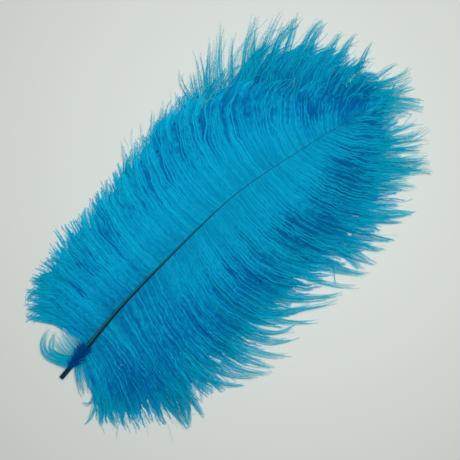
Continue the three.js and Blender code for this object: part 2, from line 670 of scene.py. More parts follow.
@dataclass(frozen=True)
class MattedBarb:
    """One barb whose barbules lie so close that they close into a narrow strip with a ragged edge."""

    centre: np.ndarray
    roll: np.ndarray
    half_width: np.ndarray
    depth: np.ndarray
    tone: float
    droop: float = 0.3

    WIDTH_SPREAD = (0.75, 1.2)
    LAG = 0.5
    LAG_SPREAD = (-0.4, 0.4)

    def draw(self, arrays: MeshArrays, random: np.random.Generator) -> None:
        """Add the barb's triangles to a mesh.

        Args:
            arrays: The mesh that the barb joins.
            random: Source of the ragged edge.
        """
        count = len(self.centre)
        go = Directions.along(self.centre, self.roll)
        along = np.linspace(0.0, 1.0, count)
        strip = Strip(self.tone)
        rib = strip.points(self.centre, 0.5, along, 0.0, self.depth)
        step = float(np.linalg.norm(self.centre[1] - self.centre[0]))
        for hand in (1.0, -1.0):
            width = (self.half_width * random.uniform(*self.WIDTH_SPREAD, count))[:, None]
            lag = (self.LAG * self.half_width + step * random.uniform(*self.LAG_SPREAD, count))[:, None]
            out = hand * math.cos(self.droop) * go.across - math.sin(self.droop) * go.above
            places = self.centre + width * out + lag * go.ahead
            edge = strip.points(places, 0.5 + CHART_REACH * hand, along, 1.0, self.depth)
            for here, there, side in ((rib[:-1], rib[1:], edge[:-1]), (rib[1:], edge[1:], edge[:-1])):
                if hand > 0.0:
                    strip.triangles(here, there, side)
                else:
                    strip.triangles(there, here, side)
        strip.join(arrays)


@dataclass
class ShaftLine:
    """Centre line of the shaft in millimetres, from the cut end of the quill to the tip."""

    points: tuple[tuple[float, float, float], ...] = (
        (-191.0, -22.8, 2.6),
        (-156.0, -16.6, 4.6),
        (-118.0, -9.8, 7.5),
        (-66.0, -4.2, 10.0),
        (17.0, 1.4, 11.5),
        (50.0, -0.5, 11.2),
        (136.0, -11.8, 8.0),
        (170.0, -17.5, 5.5),
    )
    bare_quill: float = 22.0
    radius_places: tuple[float, ...] = (0.0, 30.0, 80.0, 140.0, 200.0, 250.0, 300.0, 366.0)
    radii: tuple[float, ...] = (2.0, 2.1, 1.6, 0.95, 0.55, 0.34, 0.22, 0.12)

    SAMPLES = 60
    KNOT_POWER = 0.5

    def __post_init__(self) -> None:
        """Sample the curve finely and measure along it."""
        knots = np.array(self.points)
        knots = np.vstack([2 * knots[0] - knots[1], knots, 2 * knots[-1] - knots[-2]])
        samples = []
        part = np.linspace(0.0, 1.0, self.SAMPLES, endpoint=False)[:, None]
        for before, here, there, after in zip(knots, knots[1:], knots[2:], knots[3:]):
            first, middle, last = (
                math.dist(start, end) ** self.KNOT_POWER
                for start, end in ((before, here), (here, there), (there, after))
            )
            slope = (there - here) / middle
            leave = (here - before) / first - (there - before) / (first + middle) + slope
            reach = slope - (after - here) / (middle + last) + (after - there) / last
            leave, reach = leave * middle, reach * middle
            cubic = 2 * here - 2 * there + leave + reach
            square = -3 * here + 3 * there - 2 * leave - reach
            samples.append(here + leave * part + square * part ** 2 + cubic * part ** 3)
        self.curve = np.vstack([*samples, knots[-2]])
        steps = np.linalg.norm(np.diff(self.curve, axis=0), axis=1)
        self.measure = np.concatenate([[0.0], np.cumsum(steps)])
        self.length = float(self.measure[-1])
        self.ahead = unit(np.gradient(self.curve, self.measure, axis=0))

    def _read(self, rows: np.ndarray, place: np.ndarray) -> np.ndarray:
        """Read rows that go with the sampled curve at distances from the cut end."""
        return np.column_stack([np.interp(place, self.measure, column) for column in rows.T])

    def point(self, place: np.ndarray) -> np.ndarray:
        """Give points at distances from the cut end, in millimetres."""
        return self._read(self.curve, place)

    def heading(self, place: np.ndarray) -> np.ndarray:
        """Give unit vectors towards the tip at distances from the cut end."""
        return unit(self._read(self.ahead, place))

    def radius(self, place: np.ndarray) -> np.ndarray:
        """Give the shaft's radius at distances from the cut end."""
        return np.interp(place, self.radius_places, self.radii)

    def vane_place(self, share: np.ndarray) -> np.ndarray:
        """Turn a share of the vane's length into a distance from the cut end."""
        return self.bare_quill + share * (self.length - self.bare_quill)


@dataclass(frozen=True)
class BarbPlan:
    """How the barbs of one tier leave the shaft, bend and end, at stations along the vane."""

    stations: tuple[float, ...]
    root_angle: tuple[float, ...]
    end_angle: tuple[float, ...]
    length: tuple[float, ...]
    bend_power: tuple[float, ...]
    tip_height: tuple[float, ...]


class BarbField:
    """Table of where a tier's barbs lie in plan, read by share of the vane and part of the barb."""

    ROWS = 220
    COLUMNS = 80
    FURTHEST = 1.45
    BENT = 1.2
    MARGIN = 0.05
    MARGIN_ROWS = 11
    WINDOW = 13

    def __init__(self, plan: BarbPlan, side: Side, shaft: ShaftLine) -> None:
        """Follow the barbs of every row from the shaft outwards.

        Args:
            plan: Angles and lengths at the stations.
            side: The side of the shaft.
            shaft: The shaft's centre line.
        """
        share = np.linspace(0.0, 1.0, self.ROWS)
        part = np.linspace(0.0, self.FURTHEST, self.COLUMNS)
        place = shaft.vane_place(share)
        root_angle, end_angle, length, power = (
            self._eased(share, plan.stations, values)
            for values in (plan.root_angle, plan.end_angle, plan.length, plan.bend_power)
        )
        ahead = shaft.heading(place)
        shaft_angle = np.arctan2(ahead[:, 1], ahead[:, 0])
        middle = 0.5 * (part[:-1] + part[1:])
        bend = np.minimum(middle, self.BENT)[None, :] ** power[:, None]
        angle = root_angle[:, None] + (end_angle - root_angle)[:, None] * bend
        heading = shaft_angle[:, None] + side.value * np.radians(angle)
        step = length[:, None] * np.diff(part)[None, :]
        root = shaft.point(place)
        self.table = np.empty((self.ROWS, self.COLUMNS, 2))
        for axis, wave in enumerate((np.cos, np.sin)):
            walk = np.cumsum(step * wave(heading), axis=1)
            self.table[:, 0, axis] = root[:, axis]
            self.table[:, 1:, axis] = root[:, axis, None] + walk
        self.lengths = length
        self.tip_heights = self._eased(share, plan.stations, plan.tip_height)
        self.shares = share

    @classmethod
    def _eased(
        cls, share: np.ndarray, stations: Sequence[float], values: Sequence[float],
    ) -> np.ndarray:
        """Read stated values along the vane, with the kinks at the stations rounded off.

        Args:
            share: Shares of the vane, evenly spaced.
            stations: Shares of the vane where values are stated.
            values: The stated values.

        Returns:
            A value for each share.
        """
        places = np.linspace(-cls.MARGIN, 1.0 + cls.MARGIN, len(share) + 2 * cls.MARGIN_ROWS)
        window = np.hanning(cls.WINDOW)[1:-1]
        eased = np.convolve(np.interp(places, stations, values), window / window.sum(), mode="same")
        return eased[cls.MARGIN_ROWS:-cls.MARGIN_ROWS]

    def length(self, share: float) -> float:
        """Give the stated length of the barbs at a share of the vane."""
        return float(np.interp(share, self.shares, self.lengths))

    def tip_height(self, share: float) -> float:
        """Give the stated height of the tips at a share of the vane."""
        return float(np.interp(share, self.shares, self.tip_heights))

    def at(self, share: np.ndarray, part: np.ndarray) -> np.ndarray:
        """Read points of the table.

        Args:
            share: Share of the vane, one for each point.
            part: Part of the barb's stated length, one for each point.

        Returns:
            The points in plan, in millimetres.
        """
        row = np.clip(share, 0.0, 1.0) * (self.ROWS - 1)
        column = np.clip(part / self.FURTHEST, 0.0, 1.0) * (self.COLUMNS - 1)
        low_row = np.minimum(row.astype(int), self.ROWS - 2)
        low_column = np.minimum(column.astype(int), self.COLUMNS - 2)
        over, along = (row - low_row)[:, None], (column - low_column)[:, None]

        def within(rows: np.ndarray) -> np.ndarray:
            """Read one row of the table for each point."""
            return self.table[rows, low_column] * (1 - along) + self.table[rows, low_column + 1] * along

        return within(low_row) * (1 - over) + within(low_row + 1) * over


@dataclass(frozen=True)
class Hollow:
    """A round place in the vane, in millimetres, where barbs take painted shade and sink with its depth.
    """

    x: float
    y: float
    radius: float
    depth: float
    sink: float = 1.6

    def at(self, plan: np.ndarray) -> np.ndarray:
        """Give the hollow's depth at points in plan."""
        away = np.hypot(plan[:, 0] - self.x, plan[:, 1] - self.y) / self.radius
        return self.depth * np.exp(-away ** 2)


@dataclass(frozen=True)
class Lock:
    """Strands that lean to each other, with slits between the locks that open and close again."""

    share: float
    half_width: float
    pull: float
    opens: float
    closes: float
    swing: float
    reach: float
    curl: float

    OPENS = (0.3, 0.58)
    CLOSES = (0.62, 0.95)
    OPENING = 0.22
    CLOSING = 0.2
    CLOSED = 0.7
    PULL_SPREAD = (0.3, 1.4)
    REACH_SPREAD = (0.96, 1.03)
    CURL_SPREAD = (0.1, 1.7)
    SWING_FROM = 0.3
    SWING_POWER = 1.8
    HOOK_FROM = 0.76
    FAN_SPAN = (0.78, 1.05)
    BESIDE_SPAN = (0.65, 1.0)

    @classmethod
    def draw(
        cls, random: np.random.Generator, share: float, half_width: float, pull: float, swing: float,
    ) -> Lock:
        """Draw a lock.

        Args:
            random: Source of the spread between locks.
            share: Share of the vane where the lock lies.
            half_width: Half of the lock's width, as a share of the vane.
            pull: About how far the strands lean to the lock.
            swing: About how far the strands swing sideways, in millimetres.

        Returns:
            The lock.
        """
        opens, closes = random.uniform(*cls.OPENS), random.uniform(*cls.CLOSES)
        pull, swing = pull * random.uniform(*cls.PULL_SPREAD), swing * random.normal()
        reach, curl = random.uniform(*cls.REACH_SPREAD), random.uniform(*cls.CURL_SPREAD)
        return cls(share, half_width, pull, opens, closes, swing, reach, curl)

    def aside(self, part: np.ndarray) -> np.ndarray:
        """Give how far the lock's strands swing sideways along their length, in millimetres."""
        beyond = np.clip((part - self.SWING_FROM) / (1.0 - self.SWING_FROM), 0.0, None)
        return self.swing * beyond ** self.SWING_POWER

    def hook(self, part: np.ndarray) -> np.ndarray:
        """Give how far the lock's tips curl aside, as a share of the tier's hook."""
        return self.curl * np.clip((part - self.HOOK_FROM) / (1.0 - self.HOOK_FROM), 0.0, None) ** 2

    def slit(self, part: np.ndarray) -> np.ndarray:
        """Give how far the slits beside the lock are open along its strands.

        Args:
            part: Places along the strands, from 0 to 1.

        Returns:
            The opening, from 0 to 1.
        """
        opening = smooth(part, self.opens, self.opens + self.OPENING)
        closing = smooth(part, self.closes - self.CLOSING, self.closes)
        return opening * (1.0 - self.CLOSED * closing)

    def lean(self, part: np.ndarray, fan: float) -> np.ndarray:
        """Give how far the strands lean to the lock along their length, less at the fanned tips."""
        return self.pull * (self.slit(part) - fan * smooth(part, *self.FAN_SPAN))

    def shadow(self, share: float, part: np.ndarray) -> np.ndarray:
        """Give how far into a slit a strand lies along its length."""
        beside = smooth(abs(share - self.share) / self.half_width, *self.BESIDE_SPAN)
        return beside * self.slit(part)


@dataclass(frozen=True)
class Gash:
    """Painted shade on a strand for a short dark gap beside it, at a part of its length and some
    millimetres long.
    """

    place: float
    half_length: float
    shade: float

    SHADES = (0.4, 1.0)
    PLACES = (0.42, 0.92)
    HALF_LENGTHS = (2.0, 6.0)

    @classmethod
    def draw(cls, random: np.random.Generator, share: float) -> Gash:
        """Draw a gap that this share of the strands have."""
        shade = random.uniform(*cls.SHADES) if random.random() < share else 0.0
        return cls(random.uniform(*cls.PLACES), random.uniform(*cls.HALF_LENGTHS), shade)

    def at(self, part: np.ndarray, length: float) -> np.ndarray:
        """Give the gap's depth along a strand of a given length."""
        return self.shade * np.exp(-(((part - self.place) * length / self.half_length) ** 2))


@dataclass(frozen=True)
class Ripple:
    """Waves that neighbouring barbs share, so that they nest in each other."""

    sizes: tuple[float, ...] = (0.42, 0.2, 0.07)
    lengths: tuple[float, ...] = (23.0, 13.5, 7.7)
    shifts: tuple[float, ...] = (7.0, 19.0, 37.0)

    def at(self, share: float, distance: np.ndarray, start: np.ndarray) -> np.ndarray:
        """Give the sideways wave along one barb.

        Args:
            share: Share of the vane where the barb leaves the shaft.
            distance: Distance from the shaft, in millimetres.
            start: A turn to add to each wave.

        Returns:
            The wave in millimetres.
        """
        turns = [distance / length + shift * share for length, shift in zip(self.lengths, self.shifts)]
        return sum(size * np.sin(2 * math.pi * (turn + more))
                   for size, turn, more in zip(self.sizes, turns, start))


@dataclass(frozen=True)
class Tier:
    """One layer of barbs on one side of the shaft, gathered into strands and the strands into locks."""

    layer: Layer
    side: Side
    plan: BarbPlan
    weave: Weave
    strands: int
    pairs: float = 0.0
    locks: int = 34
    first: float = 0.0
    begins: float = 0.0
    gather: float = 0.7
    lock_gather: float = 0.3
    lock_peak: float = 0.0
    lock_seed: int = 0
    swing: float = 1.2
    hook: float = 0.0
    fan: float = 0.5
    slit_shade: float = 0.3
    slit_sink: float = 0.8
    length_low: float = 0.9
    length_high: float = 1.02
    stray_share: float = 0.12
    stray_high: float = 1.15
    ragged: float = 0.0
    lift: float = 0.0
    fall: float = 1.0
    height: float = 1.0
    tip_drop: float = 0.0
    tip_spread: float = 0.6
    wave: float = 0.8
    crimp: float = 0.16
    rows: tuple[float, ...] = (-0.45,)
    barbule: float = 1.35
    rib_radius: float = 0.17
    thin: float = 0.6
    closed: float = 0.8
    spacing: float = 0.4
    # depth: painted shade, how much darker the tier is drawn for lying under others or on the side that
    # takes less light
    depth: float = 0.0
    depth_spread: float = 0.12
    dash: float = 0.1
    gashes: float = 0.0
    hollows: tuple[Hollow, ...] = ()
    ripple: Ripple = Ripple()

    PEAK_PLACE = 0.62
    PEAK_WIDTH = 0.17
    STREAK = 0.5
    RAGGED = (0.66, 0.8)
    HOOK_TURNS = (0.06, 0.18)
    HOOK_BACK = 1.3
    DASH_LENGTHS = ((3.5, 7.0), (8.0, 16.0))
    LOCK_JITTER = (0.1, 0.9)
    STRAND_JITTER = (0.2, 0.8)
    MEMBER_JITTER = (-0.15, 0.15)
    MEMBER_REACH = (0.98, 1.01)
    STRAY_WAVE = 1.6
    OWN_WAVE = 0.3
    FEWEST_STEPS = 8
    GATHER_SPAN = (0.12, 0.7)
    RIPPLE_SPREAD = 0.08
    RIPPLE_SPAN = (0.0, 0.12)
    CRIMP_LENGTHS = (4.5, 8.0)
    CAUGHT = (0.1, 0.35, 1.1)
    SHADOW_SPREAD = (0.5, 1.2)
    ROOT_LENGTH = 6.0
    ROOT_DROP = 0.3
    LEAST_HEIGHT = 0.4
    DEPTH_SPAN = (0.1, 0.6)
    NEAR_DEPTH = 0.2
    THIN_SPAN = (0.5, 1.0)
    SIZE_SPREAD = (0.88, 1.12)
    MAT_GAP = 0.85
    MAT_TAPER = 0.85
    MAT_ROLL = 0.08
    TWIST_LENGTHS = (26.0, 44.0)
    ROPE = 0.4
    ROPE_SPAN = (0.1, 0.6)
    ROPE_THIN = 0.6
    ROOT_ROLL = 0.2
    TIP_ROLL = 0.5
    ROLL_SPAN = (0.35, 1.0)
    BARBULE_SPAN = (-1.5, 4.0)
    ROOT_LEAN = 52.0
    LEAN_LOSS = 22.0
    LEAN_SPAN = (0.3, 1.0)

    @property
    def name(self) -> str:
        """Name the tier by its layer and side."""
        return f"{self.layer.value}_{self.side.name.lower()}"

    def barbs(
        self, shaft: ShaftLine, random: np.random.Generator,
    ) -> list[tuple[float, Union[Barb, MattedBarb]]]:
        """Grow the tier.

        Args:
            shaft: The shaft's centre line.
            random: Source of the spread between barbs.

        Returns:
            Each barb with its share of the vane.
        """
        plan_field = BarbField(self.plan, self.side, shaft)
        pitch = self._pitch()
        drawn = np.random.default_rng(self.lock_seed)
        locks = self._locks(drawn)
        grown = []
        for strand in range(self.strands):
            share = self.first + (strand + random.uniform(*self.STRAND_JITTER)) * pitch
            lock = min(locks, key=lambda each: abs(each.share - share))
            stray = random.random() < self.stray_share
            low = self.length_low - self.ragged * smooth(share, *self.RAGGED)
            shortest, longest = (self.length_high, self.stray_high) if stray else (low, self.length_high)
            reach = random.uniform(shortest, longest)
            wave = StrandWave.draw(random, self.wave * (self.STRAY_WAVE if stray else 1.0))
            depth = self.depth + random.normal(0.0, self.depth_spread)
            tip = plan_field.tip_height(share) - self.tip_drop
            tip += random.uniform(-1.0, 1.0) * self.tip_spread
            gash = Gash.draw(drawn, self.gashes)
            members = 2 if random.random() < self.pairs else 1
            for barb in range(members):
                offset = (barb - 0.5 * (members - 1)) / members + random.uniform(*self.MEMBER_JITTER)
                root = float(np.clip(share + offset * pitch, 0.0, 1.0))
                grown.append((root, self._barb(
                    plan_field, shaft, random, root=root, strand=share, lock=lock,
                    reach=reach * lock.reach * random.uniform(*self.MEMBER_REACH),
                    wave=wave, depth=depth, tip=tip, gash=gash if barb == 0 else None,
                )))
        return grown

    def _locks(self, random: np.random.Generator) -> list[Lock]:
        """Draw the tier's locks along the vane.

        Args:
            random: Source of the spread between locks.

        Returns:
            The locks from the base to the tip.
        """
        pitch = 1.0 / self.locks
        locks = []
        for number in range(self.locks):
            place = (number + random.uniform(*self.LOCK_JITTER)) * pitch
            more = 1.0 + self.lock_peak * math.exp(-(((place - self.PEAK_PLACE) / self.PEAK_WIDTH) ** 2))
            pull, swing = self.lock_gather * more, self.swing * more
            locks.append(Lock.draw(random, place, 0.5 * pitch, pull, swing))
        return locks

    def _pitch(self) -> float:
        """Give the share of the vane from one strand to the next."""
        return (1.0 - self.first) / self.strands

    def _barb(
        self,
        plan_field: BarbField,
        shaft: ShaftLine,
        random: np.random.Generator,
        *,
        root: float,
        strand: float,
        lock: Lock,
        reach: float,
        wave: StrandWave,
        depth: float,
        tip: float,
        gash: Optional[Gash],
    ) -> Union[Barb, MattedBarb]:
        """Lay one barb from the shaft to its tip.

        Args:
            plan_field: Where the tier's barbs lie in plan.
            shaft: The shaft's centre line.
            random: Source of the spread between barbs.
            root: Share of the vane where the barb leaves the shaft.
            strand: Share of the vane of the strand that it gathers to.
            lock: The lock that the strand leans to.
            reach: Length as a part of the stated length.
            wave: Sideways wave that the strand's barbs share.
            depth: The painted shade of the barb's tier, with a random spread, from 0 to 1.
            tip: Height of the tip over the surface.
            gash: Painted shade for a dark gap beside the strand, for the barb that shows it.

        Returns:
            The barb.
        """
        length = plan_field.length(root) * reach
        count = max(self.FEWEST_STEPS, int(length * (1.0 - self.begins) / self.spacing))
        part = np.linspace(self.begins, 1.0, count + 1)
        away = part * length
        gather = self.gather * smooth(part, *self.GATHER_SPAN)
        share = root + (strand - root) * gather + (lock.share - strand) * lock.lean(part, self.fan)
        plan = plan_field.at(share, part * reach)
        ahead = unit(np.gradient(plan, axis=0))
        aside = np.column_stack([-ahead[:, 1], ahead[:, 0]])
        own = StrandWave.draw(random, self.OWN_WAVE * self.wave).at(part)
        nested = self.ripple.at(root, away, random.normal(0.0, self.RIPPLE_SPREAD, 3))
        crimp = self.crimp * self._turns(away, self.CRIMP_LENGTHS, random)
        turned = (1.0 + self.HOOK_BACK) * smooth(root, *self.HOOK_TURNS) - self.HOOK_BACK
        hook = self.side.value * self.hook * turned * lock.hook(part)
        waves = (nested + crimp) * smooth(part, *self.RIPPLE_SPAN)
        shift = wave.at(part) + own + lock.aside(part) - hook + waves
        plan = plan + aside * shift[:, None]
        caught = 1.0 if self.weave is Weave.MATTED else random.choice(self.CAUGHT)
        shadow = lock.shadow(strand, part) * random.uniform(*self.SHADOW_SPREAD)
        # painted shade, and sinking, from the slits, the gap and the hollows
        painted_shade, sink = self.slit_shade * shadow, self.slit_sink * shadow
        if gash:
            painted_shade, sink = painted_shade + gash.at(part, length), sink + self.slit_sink * gash.at(part, length)
        for hollow in self.hollows:
            along = ahead * (hollow.radius * random.normal(0.0, self.STREAK))
            here = hollow.at(plan + along) * (caught if hollow.sink else 1.0)
            painted_shade, sink = painted_shade + here, sink + hollow.sink * here
        base = float(shaft.point(shaft.vane_place(np.array([root])))[0, 2]) + self.lift
        fall = 1.0 + (self.fall - 1.0) * part - self.fall * part ** 2
        height = tip + (self.height * base - tip) * fall + wave.height(part) - sink * fall
        near = smooth(away, 0.0, self.ROOT_LENGTH)
        height = (base - self.lift - self.ROOT_DROP) * (1.0 - near) + height * near
        centre = np.column_stack([plan, np.maximum(height, self.LEAST_HEIGHT)])
        dashes = sum(self._turns(away, lengths, random) for lengths in self.DASH_LENGTHS)
        # painted shade: the tier's depth, less near the shaft, the hollows, slits and gaps, and random
        # dashes of tone
        deeper = self.NEAR_DEPTH + (1.0 - self.NEAR_DEPTH) * smooth(part, *self.DEPTH_SPAN)
        shade = np.clip(depth * deeper + painted_shade + self.dash * dashes, 0.0, 1.0)
        tone = float(random.uniform(0.0, 1.0))
        taper = 1.0 - self.thin * smooth(part, *self.THIN_SPAN)
        size = self.barbule * random.uniform(*self.SIZE_SPREAD) * taper
        if self.weave is Weave.MATTED:
            beside = plan_field.at(share + self._pitch(), part * reach)
            gap = np.linalg.norm(beside - plan_field.at(share, part * reach), axis=1)
            size = np.maximum(size, self.MAT_GAP * gap)
            size = size * (1.0 - self.MAT_TAPER * smooth(part, self.closed, 1.0))
            roll = np.full(count + 1, random.normal(0.0, self.MAT_ROLL))
            return MattedBarb(centre, roll, size, shade, tone)
        level = np.column_stack([aside, np.zeros(count + 1)])
        start = random.uniform(0.0, 2 * math.pi)
        twist = start + 2 * math.pi * away / random.uniform(*self.TWIST_LENGTHS)
        rope = (self.ROPE * smooth(part, *self.ROPE_SPAN) * (1.0 - self.ROPE_THIN * part))[:, None]
        root_roll, tip_roll = random.normal(0.0, self.ROOT_ROLL), random.normal(0.0, self.TIP_ROLL)
        return Barb(
            centre=centre + rope * (np.cos(twist)[:, None] * level + np.sin(twist)[:, None] * UP),
            roll=root_roll + tip_roll * smooth(part, *self.ROLL_SPAN),
            barbule=size * smooth(away, *self.BARBULE_SPAN),
            lean=np.radians(self.ROOT_LEAN - self.LEAN_LOSS * smooth(part, *self.LEAN_SPAN)),
            depth=shade,
            tone=tone,
            rows=self.rows,
            rib_radius=self.rib_radius,
            begins=self.begins,
        )

    @staticmethod
    def _turns(away: np.ndarray, lengths: Span, random: np.random.Generator) -> np.ndarray:
        """Draw a wave of a length between two, from any start, along distances from the shaft."""
        return np.sin(2 * math.pi * (away / random.uniform(*lengths) + random.random()))


@dataclass(frozen=True)
class StrandWave:
    """Soft sideways and upward waves along a strand, growing from the shaft to the tip."""

    size: float
    turns: float
    start: float
    rise: float
    rise_turns: float
    rise_start: float

    TURNS = (0.5, 1.7)
    RISE = 0.5
    RISE_TURNS = (0.5, 1.5)
    GROWTH = 1.2

    @classmethod
    def draw(cls, random: np.random.Generator, size: float) -> StrandWave:
        """Draw a wave of about a given size in millimetres."""
        return cls(
            size * random.normal(), random.uniform(*cls.TURNS), random.random(),
            cls.RISE * size * random.normal(), random.uniform(*cls.RISE_TURNS), random.random(),
        )

    def at(self, part: np.ndarray) -> np.ndarray:
        """Give the sideways wave along the strand."""
        return self.size * part ** self.GROWTH * np.sin(2 * math.pi * (self.turns * part + self.start))

    def height(self, part: np.ndarray) -> np.ndarray:
        """Give the upward wave along the strand."""
        turns = self.rise_turns * part + self.rise_start
        return self.rise * part ** self.GROWTH * np.sin(2 * math.pi * turns)


@dataclass(frozen=True)
class VaneDyes:
    """Finishes of the vane's parts.

    They are the left half by the base, drawn lighter with painted light for the light that side takes,
    the other front barbs, the right side, the outer half by the tip and the fringe.
    """

    left: DyedBarbFinish
    front: DyedBarbFinish
    right: DyedBarbFinish
    outer: DyedBarbFinish
    fringe: DyedBarbFinish

    def all(self) -> tuple[DyedBarbFinish, ...]:
        """List the finishes."""
        return self.left, self.front, self.right, self.outer, self.fringe

    def pick(self, tier: Tier, by_tip: bool) -> DyedBarbFinish:
        """Choose the finish of one half of a tier.

        Args:
            tier: The tier.
            by_tip: Whether the half is the one by the feather's tip.

        Returns:
            The finish.
        """
        left = tier.side is Side.LEFT
        if tier.layer is Layer.FRINGE:
            return self.fringe
        if left and not by_tip:
            return self.left
        if tier.layer in (Layer.FRONT, Layer.FRONT_MAT):
            return self.right if by_tip and not left else self.front
        return self.outer if by_tip else self.right


STATIONS = (0.0, 0.025, 0.08, 0.2, 0.35, 0.5, 0.58, 0.65, 0.8, 0.92, 1.0)


